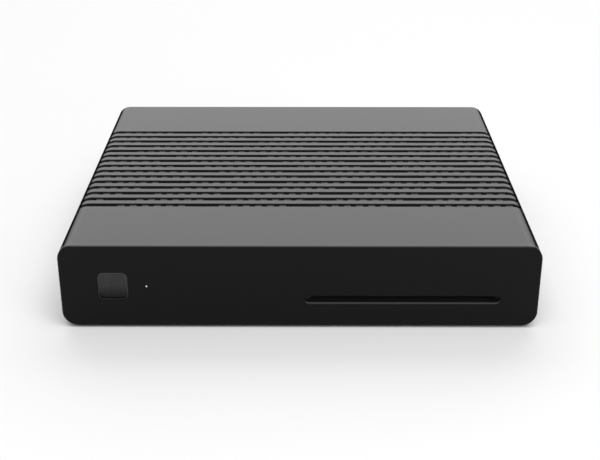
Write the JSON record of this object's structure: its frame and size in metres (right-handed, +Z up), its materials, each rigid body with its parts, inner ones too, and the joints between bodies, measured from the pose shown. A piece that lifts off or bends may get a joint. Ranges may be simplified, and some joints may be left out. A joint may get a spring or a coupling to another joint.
{
  "type": "satellite tv receiver",
  "caption": "Compact satellite receiver in a ribbed, vented housing with a front push button, card slot and rear panel of sockets.",
  "frame": {"origin": "table height, under the middle of the bounding box", "axes": "+X right seen from the front, +Y to the rear panel, +Z up"},
  "size_m": [0.2, 0.184, 0.0384],
  "materials": {
    "cover_plastic": "fine moulded texture",
    "tray_plastic": "moulded texture",
    "bezel_plastic": "smooth satin",
    "panel_paint": "black powder coat",
    "key_metal": "brushed, dark anodised",
    "plunger_plastic": "moulded",
    "switch_plastic": "moulded",
    "light_pipe": "clear acrylic",
    "led_body": "moulded",
    "ir_plastic": "dark filter plastic",
    "circuit_board": "green solder mask",
    "screw_steel": "zinc plated",
    "screw_black": "black plated",
    "inner_plastic": "moulded",
    "card_socket": "moulded",
    "contact_gold": "gold plated",
    "chip_epoxy": "moulded epoxy",
    "pad_rubber": "soft silicone",
    "sink_aluminium": "extruded",
    "ferrite": "pressed ferrite",
    "capacitor_sleeve": "shrunk sleeve",
    "can_metal": "tinned",
    "connector_nickel": "nickel plated",
    "shell_steel": "tinned, pressed",
    "port_plastic": "moulded",
    "rocker_plastic": "moulded",
    "foot_rubber": "moulded"
  },
  "bodies": {
    "housing": {"top_cover": "cover_plastic", "base_tray": "tray_plastic", "front_bezel": "bezel_plastic", "rear_panel": "panel_paint", "tact_switch": "switch_plastic", "status_light_pipe": "light_pipe", "status_led": "led_body", "ir_receiver": "ir_plastic", "front_board": "circuit_board", "front_board_screws": "screw_steel", "board_link": "switch_plastic", "card_guide": "inner_plastic", "card_reader": "card_socket", "card_contacts": "contact_gold", "main_board": "circuit_board", "board_screws": "screw_steel", "processor_chip": "chip_epoxy", "thermal_pad": "pad_rubber", "heat_sink": "sink_aluminium", "memory_chips": "chip_epoxy", "flash_chip": "chip_epoxy", "inductors": "ferrite", "capacitors": "capacitor_sleeve", "crystal": "can_metal", "tuner_can": "can_metal", "lnb_connector": "connector_nickel", "lnb_nut": "connector_nickel", "serial_port": "shell_steel", "serial_jackscrews": "screw_steel", "hdmi_socket": "shell_steel", "optical_socket": "port_plastic", "usb_sockets": "shell_steel", "ethernet_jack": "shell_steel", "av_jack": "port_plastic", "dc_jack": "port_plastic", "rocker_frame": "port_plastic", "rubber_feet": "foot_rubber", "case_screws": "screw_black", "rear_panel_screws": "screw_black"},
    "button": {"power_button": "key_metal", "tact_plunger": "plunger_plastic"},
    "rocker": {"power_rocker": "rocker_plastic"},
    "shutter": {"optical_shutter": "port_plastic"}
  },
  "joints": [
    {"name": "power_button_press", "type": "slide", "parent": "housing", "child": "button", "axis": [0, 1, 0], "range_m": [0, 0.0005], "stiffness_N_per_m": 600},
    {"name": "power_rocker_tilt", "type": "hinge", "parent": "housing", "child": "rocker", "pos_m": [-0.084, 0.08, 0.0197], "axis": [1, 0, 0], "range_deg": [0, 20]},
    {"name": "optical_shutter_swing", "type": "hinge", "parent": "housing", "child": "shutter", "pos_m": [0.00432, 0.08055, 0.02045], "axis": [-1, 0, 0], "range_deg": [0, 80], "stiffness_Nm_per_rad": 0.0001}
  ]
}
